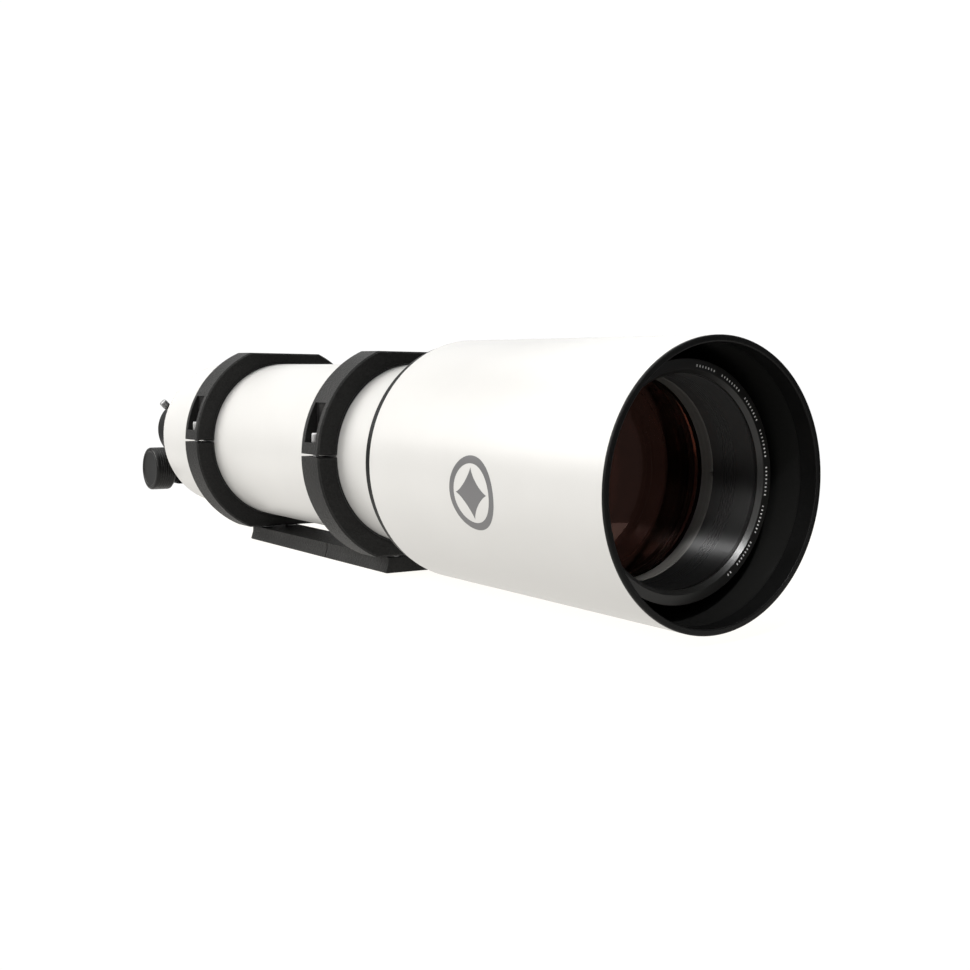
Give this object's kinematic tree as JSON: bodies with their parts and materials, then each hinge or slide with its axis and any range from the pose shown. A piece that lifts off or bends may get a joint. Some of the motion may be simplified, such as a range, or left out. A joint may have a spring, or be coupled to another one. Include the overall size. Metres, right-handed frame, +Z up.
{
  "type": "refractor telescope",
  "caption": "Refractor telescope tube with sliding dew shield, hinged tube rings on a dovetail plate, and a rotating rack-and-pinion focuser.",
  "frame": {"origin": "middle of the dovetail plate's underside", "axes": "+X along the optical axis towards the sky, +Z up from the plate to the tube, -Y on the side of the ring clamp screws"},
  "size_m": [0.798, 0.1876, 0.1817],
  "materials": {
    "white_paint": "glossy white paint on aluminium",
    "black_anodised": "satin black anodised",
    "black_casting": "fine-textured black",
    "inner_black": "flat black",
    "felt": "black felt",
    "lens_glass": "multi-coated optical glass",
    "screw_steel": "bright stainless steel",
    "brass_ring": "satin",
    "polymer": "low-friction polymer",
    "knob_black": "satin black knob"
  },
  "bodies": {
    "mount": {"dovetail_plate": "black_casting", "front_ring_lower": "black_casting", "front_ring_lower_felt": "felt", "front_ring_hinge_pin": "screw_steel", "front_ring_bolts": "screw_steel", "front_ring_spacers": "screw_steel", "rear_ring_lower": "black_casting", "rear_ring_lower_felt": "felt", "rear_ring_hinge_pin": "screw_steel", "rear_ring_bolts": "screw_steel", "rear_ring_spacers": "screw_steel"},
    "front_ring_cap": {"front_ring_upper": "black_casting", "front_ring_upper_felt": "felt"},
    "rear_ring_cap": {"rear_ring_upper": "black_casting", "rear_ring_upper_felt": "felt"},
    "front_clamp": {"front_ring_clamp_screw": "screw_steel"},
    "rear_clamp": {"rear_ring_clamp_screw": "screw_steel"},
    "tube": {"main_tube": "white_paint", "tube_baffle_front": "inner_black", "tube_baffle_middle": "inner_black", "tube_baffle_rear": "inner_black", "tube_rear_flange": "black_anodised", "cell_flange": "black_anodised", "lens_cell": "black_anodised", "cell_front_ring": "black_anodised", "lens_retaining_ring": "black_anodised", "cell_baffle_sleeve": "black_anodised", "collimation_screws": "screw_steel", "lens_front_element": "lens_glass", "lens_middle_element": "lens_glass", "lens_rear_element": "lens_glass", "lens_spacer_front": "inner_black", "lens_spacer_rear": "inner_black", "dew_shield_guide_ring": "black_anodised", "dew_shield_guide_felt": "felt", "rotation_collar": "black_anodised"},
    "dew_shield": {"dew_shield_tube": "white_paint", "dew_shield_front_rim": "black_anodised", "dew_shield_rear_ring": "black_anodised", "dew_shield_rear_felt": "felt"},
    "rotation_lock": {"rotation_lock_screw": "screw_steel"},
    "focuser": {"focuser_body": "black_anodised", "guide_liner_front": "polymer", "guide_liner_rear": "polymer", "pinion_housing": "black_anodised", "pinion_housing_screws": "screw_steel", "pinion_bushes": "brass_ring"},
    "drawtube_lock": {"drawtube_lock_screw": "screw_steel"},
    "drawtube": {"drawtube": "black_anodised", "rack": "screw_steel", "eyepiece_clamp_ring": "black_anodised", "compression_ring": "brass_ring"},
    "eyepiece_screw_right": {"eyepiece_screw_right": "screw_steel"},
    "eyepiece_screw_left": {"eyepiece_screw_left": "screw_steel"},
    "pinion": {"pinion_shaft": "screw_steel", "coarse_knob_right": "knob_black", "coarse_knob_left": "knob_black"},
    "fine_knob": {"fine_focus_knob": "knob_black"}
  },
  "joints": [
    {"name": "tube_balance_slide", "type": "slide", "parent": "mount", "child": "tube", "axis": [1, 0, 0], "range_m": [-0.06, 0.09]},
    {"name": "dew_shield_slide", "type": "slide", "parent": "tube", "child": "dew_shield", "axis": [1, 0, 0], "range_m": [0, 0.096]},
    {"name": "front_ring_hinge", "type": "hinge", "parent": "mount", "child": "front_ring_cap", "pos_m": [0.117, 0.094, 0.0941], "axis": [-1, 0, 0], "range_deg": [0, 100]},
    {"name": "rear_ring_hinge", "type": "hinge", "parent": "mount", "child": "rear_ring_cap", "pos_m": [-0.1125, 0.094, 0.0941], "axis": [-1, 0, 0], "range_deg": [0, 100]},
    {"name": "front_clamp_turn", "type": "hinge", "parent": "front_ring_cap", "child": "front_clamp", "pos_m": [0.117, -0.0813, 0.0941], "axis": [0, 0, 1], "range_deg": [0, 1440]},
    {"name": "rear_clamp_turn", "type": "hinge", "parent": "rear_ring_cap", "child": "rear_clamp", "pos_m": [-0.1125, -0.0813, 0.0941], "axis": [0, 0, 1], "range_deg": [0, 1440]},
    {"name": "focuser_rotation", "type": "hinge", "parent": "tube", "child": "focuser", "pos_m": [-0.27, 0, 0.0941], "axis": [1, 0, 0], "continuous": true},
    {"name": "rotation_lock_turn", "type": "hinge", "parent": "tube", "child": "rotation_lock", "pos_m": [-0.24855, 0, 0.1441], "axis": [0, 0, 1], "range_deg": [-360, 720]},
    {"name": "drawtube_slide", "type": "slide", "parent": "focuser", "child": "drawtube", "axis": [-1, 0, 0], "range_m": [-0.012, 0.068]},
    {"name": "pinion_turn", "type": "hinge", "parent": "focuser", "child": "pinion", "pos_m": [-0.266, 0, 0.0581], "axis": [0, -1, 0], "range_deg": [-140, 760]},
    {"name": "fine_knob_turn", "type": "hinge", "parent": "focuser", "child": "fine_knob", "pos_m": [-0.266, 0.073, 0.0581], "axis": [0, -1, 0], "range_deg": [-1400, 7600]},
    {"name": "drawtube_lock_turn", "type": "hinge", "parent": "focuser", "child": "drawtube_lock", "pos_m": [-0.274, 0, 0.1341], "axis": [0, 0, 1], "range_deg": [-360, 720]},
    {"name": "eyepiece_screw_right_turn", "type": "hinge", "parent": "drawtube", "child": "eyepiece_screw_right", "pos_m": [-0.329, -0.02121, 0.11531], "axis": [0, -0.7071, 0.7071], "range_deg": [-360, 720]},
    {"name": "eyepiece_screw_left_turn", "type": "hinge", "parent": "drawtube", "child": "eyepiece_screw_left", "pos_m": [-0.329, 0.02898, 0.10186], "axis": [0, 0.9659, 0.2588], "range_deg": [-360, 720]}
  ],
  "couplings": [
    {"joint": "pinion_turn", "follows": "drawtube_slide", "rad_per_m": 192.31},
    {"joint": "fine_knob_turn", "follows": "drawtube_slide", "rad_per_m": 1923.1}
  ]
}
